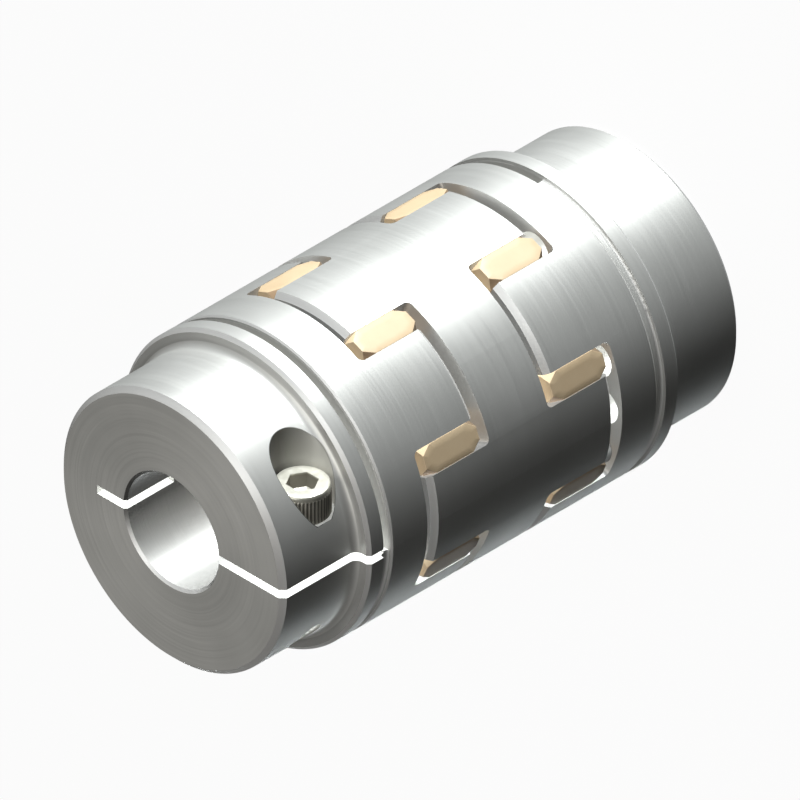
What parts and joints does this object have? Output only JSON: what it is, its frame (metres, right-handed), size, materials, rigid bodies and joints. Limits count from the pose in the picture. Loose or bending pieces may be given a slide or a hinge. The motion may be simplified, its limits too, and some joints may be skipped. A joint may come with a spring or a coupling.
{
  "type": "elastomer shaft coupling",
  "caption": "Backlash-free shaft coupling: split clamping hubs either side of a jawed centre piece, with elastomer spiders between the jaws.",
  "frame": {"origin": "centre of the far hub's end face, on the shaft axis", "axes": "+Z along the shaft axis from the far hub to the near hub; +X is the side of the near hub's clamping slit; +Y is the side its clamp screw's head faces"},
  "size_m": [0.06, 0.06, 0.11],
  "materials": {
    "hub_metal": "fine turned and milled aluminium",
    "screw_steel": "bright plated steel with a knurled head",
    "spider_elastomer": "smooth moulded polyurethane, cream"
  },
  "bodies": {
    "far_hub": {"far_hub": "hub_metal", "far_clamp_screw": "screw_steel"},
    "far_spider": {"far_spider": "spider_elastomer"},
    "centre_piece": {"centre_piece": "hub_metal"},
    "near_spider": {"near_spider": "spider_elastomer"},
    "near_hub": {"near_hub": "hub_metal", "near_clamp_screw": "screw_steel"}
  },
  "joints": [
    {"name": "far_tilt", "type": "hinge", "parent": "far_hub", "child": "far_spider", "pos_m": [0, 0, 0.0398], "axis": [1, 0, 0], "range_deg": [-1, 1], "stiffness_Nm_per_rad": 12, "deforming": ["far_spider"]},
    {"name": "far_wind_up", "type": "hinge", "parent": "far_spider", "child": "centre_piece", "pos_m": [0, 0, 0.0398], "axis": [0, 0, 1], "range_deg": [-3, 3], "stiffness_Nm_per_rad": 12, "deforming": ["far_spider"]},
    {"name": "near_wind_up", "type": "hinge", "parent": "centre_piece", "child": "near_spider", "pos_m": [0, 0, 0.0702], "axis": [0, 0, 1], "range_deg": [-3, 3], "stiffness_Nm_per_rad": 12, "deforming": ["near_spider"]},
    {"name": "near_tilt", "type": "hinge", "parent": "near_spider", "child": "near_hub", "pos_m": [0, 0, 0.0702], "axis": [1, 0, 0], "range_deg": [-1, 1], "stiffness_Nm_per_rad": 12, "deforming": ["near_spider"]}
  ]
}
